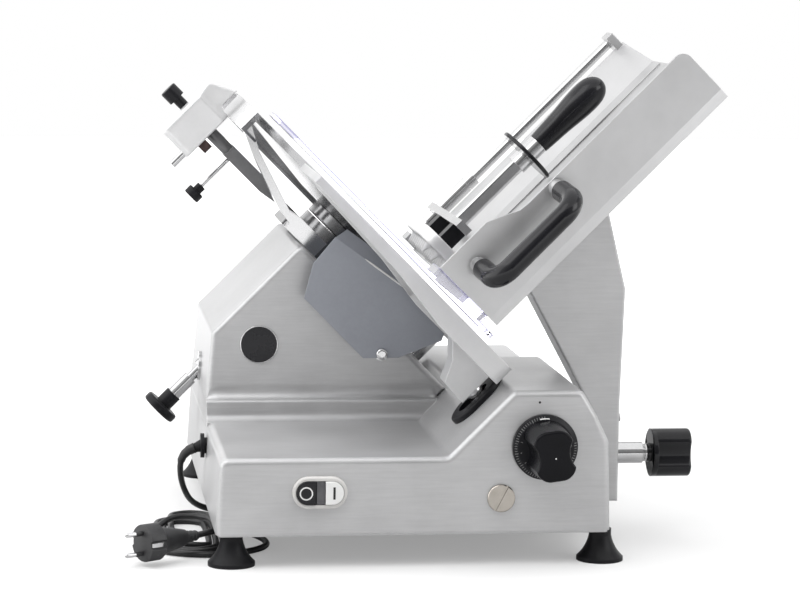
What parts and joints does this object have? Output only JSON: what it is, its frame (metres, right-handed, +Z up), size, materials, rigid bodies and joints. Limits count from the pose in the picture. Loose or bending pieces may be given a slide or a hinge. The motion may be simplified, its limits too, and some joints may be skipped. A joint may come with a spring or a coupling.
{
  "type": "food slicer",
  "caption": "Tilted-blade gravity food slicer: cast base, gauge plate with dial, spinning disc blade, sliding food tray with pusher, sharpener head and a mains cord with plug.",
  "frame": {"origin": "middle of the machine's footprint box at floor level, cord left out", "axes": "+X to the operator's right, +Y to the back, +Z up"},
  "size_m": [0.5581, 0.5901, 0.4872],
  "materials": {
    "body_aluminium": "satin, brushed",
    "steel": "polished",
    "black_plastic": "smooth, glossy",
    "grey_plastic": "smooth",
    "white_plastic": "smooth",
    "black_rubber": "matt",
    "slate_sheet": "satin",
    "motor_paint": "satin",
    "abrasive": "rough",
    "tinted_clear": "clear, polished"
  },
  "bodies": {
    "machine": {"base_casting": "body_aluminium", "bottom_cover": "steel", "rubber_feet": "black_rubber", "plug_screw": "steel", "switch_bezel": "grey_plastic", "switch_block": "black_plastic", "lamp_window": "black_plastic", "gauge_seal": "black_rubber", "guide_rods": "steel", "motor_housing": "body_aluminium", "tie_rod_bush": "steel", "drive_motor": "motor_paint", "drive_belt": "black_rubber", "bearing_carrier": "body_aluminium", "blade_bearings": "steel", "blade_cover": "steel", "guard_ring": "steel", "upper_guard": "body_aluminium", "slice_deflector": "slate_sheet", "deflector_screw": "steel", "sharpener_leg": "steel", "cable_gland": "black_rubber", "mains_cord": "black_rubber", "cord_hank": "black_rubber", "mains_plug": "black_plastic"},
    "start": {"start_button": "white_plastic"},
    "stop": {"stop_button": "black_plastic"},
    "dial": {"dial_disc": "black_plastic", "dial_grip": "black_plastic", "dial_shaft": "steel"},
    "gauge": {"gauge_plate": "body_aluminium", "gauge_column": "steel"},
    "blade": {"slicing_blade": "steel", "blade_hub": "steel", "blade_shaft": "steel"},
    "drive": {"motor_pulley": "steel"},
    "tie": {"tie_rod": "steel", "tie_rod_knob": "black_plastic"},
    "carriage": {"carriage_slider": "body_aluminium", "carriage_arm": "body_aluminium", "food_tray": "body_aluminium", "tray_front_wall": "body_aluminium", "clear_guard": "tinted_clear", "carriage_handle": "black_plastic", "pusher_rod": "steel"},
    "lock": {"lock_shaft": "steel", "lock_knob": "black_plastic"},
    "pusher_carrier": {"sleeve_bushes": "steel"},
    "pusher": {"pusher_arm": "steel", "press_plate": "steel", "plate_blocks": "black_plastic", "hand_disc": "black_plastic", "pusher_handle": "black_plastic"},
    "sharpener": {"sharpener_cover": "body_aluminium"},
    "grinding": {"grinding_stone": "abrasive", "grinding_pin": "steel"},
    "honing": {"honing_stone": "abrasive", "honing_pin": "steel"},
    "head_lock": {"sharpener_knob": "black_plastic"},
    "clamp": {"clamp_knob": "black_plastic"}
  },
  "joints": [
    {"name": "start_press", "type": "slide", "parent": "machine", "child": "start", "axis": [0, 1, 0], "range_m": [0, 0.003], "stiffness_N_per_m": 200, "springref_m": -0.002},
    {"name": "stop_press", "type": "slide", "parent": "machine", "child": "stop", "axis": [0, 1, 0], "range_m": [0, 0.003], "stiffness_N_per_m": 200, "springref_m": -0.002},
    {"name": "dial_turn", "type": "hinge", "parent": "machine", "child": "dial", "pos_m": [0.09328, -0.23485, 0.112], "axis": [0, 1, 0], "range_deg": [-60, 240]},
    {"name": "gauge_slide", "type": "slide", "parent": "machine", "child": "gauge", "axis": [-0.7071, 0, -0.7071], "range_m": [-0.003, 0.012]},
    {"name": "blade_spin", "type": "hinge", "parent": "machine", "child": "blade", "pos_m": [-0.05927, 0.11015, 0.28461], "axis": [0.7071, 0, 0.7071], "continuous": true},
    {"name": "motor_spin", "type": "hinge", "parent": "machine", "child": "drive", "pos_m": [-0.03417, 0.11015, 0.17183], "axis": [0.7071, 0, 0.7071], "continuous": true},
    {"name": "tie_rod_turn", "type": "hinge", "parent": "machine", "child": "tie", "pos_m": [-0.22191, 0.11015, 0.12198], "axis": [0.7071, 0, 0.7071], "range_deg": [-360, 0]},
    {"name": "carriage_slide", "type": "slide", "parent": "machine", "child": "carriage", "axis": [0, 1, 0], "range_m": [-0.12, 0.17]},
    {"name": "lock_turn", "type": "hinge", "parent": "carriage", "child": "lock", "pos_m": [0.20078, -0.09735, 0.081], "axis": [1, 0, 0], "range_deg": [-180, 180]},
    {"name": "pusher_slide", "type": "slide", "parent": "carriage", "child": "pusher_carrier", "axis": [0.7071, 0, 0.7071], "range_m": [-0.01, 0.19]},
    {"name": "pusher_swing", "type": "hinge", "parent": "pusher_carrier", "child": "pusher", "pos_m": [0.04573, 0.06315, 0.31537], "axis": [-0.7071, 0, -0.7071], "range_deg": [0, 100]},
    {"name": "sharpener_swing", "type": "hinge", "parent": "machine", "child": "sharpener", "pos_m": [-0.20883, 0.11015, 0.39315], "axis": [-0.7071, 0, 0.7071], "range_deg": [-110, 0]},
    {"name": "grinding_push", "type": "slide", "parent": "sharpener", "child": "grinding", "axis": [0.7071, 0, 0.7071], "range_m": [0, 0.005], "stiffness_N_per_m": 300, "springref_m": -0.003},
    {"name": "honing_push", "type": "slide", "parent": "sharpener", "child": "honing", "axis": [0.7071, 0, 0.7071], "range_m": [0, 0.005], "stiffness_N_per_m": 300, "springref_m": -0.003},
    {"name": "head_lock_turn", "type": "hinge", "parent": "sharpener", "child": "head_lock", "pos_m": [-0.23357, 0.11015, 0.4179], "axis": [-0.7071, 0, 0.7071], "range_deg": [-180, 0]},
    {"name": "clamp_turn", "type": "hinge", "parent": "machine", "child": "clamp", "pos_m": [-0.20246, 0.11015, 0.3288], "axis": [0.7071, 0, 0.7071], "range_deg": [-180, 0]}
  ],
  "couplings": [
    {"joint": "dial_turn", "follows": "gauge_slide", "rad_per_m": 349.06},
    {"joint": "motor_spin", "follows": "blade_spin", "ratio": 1.3333}
  ]
}
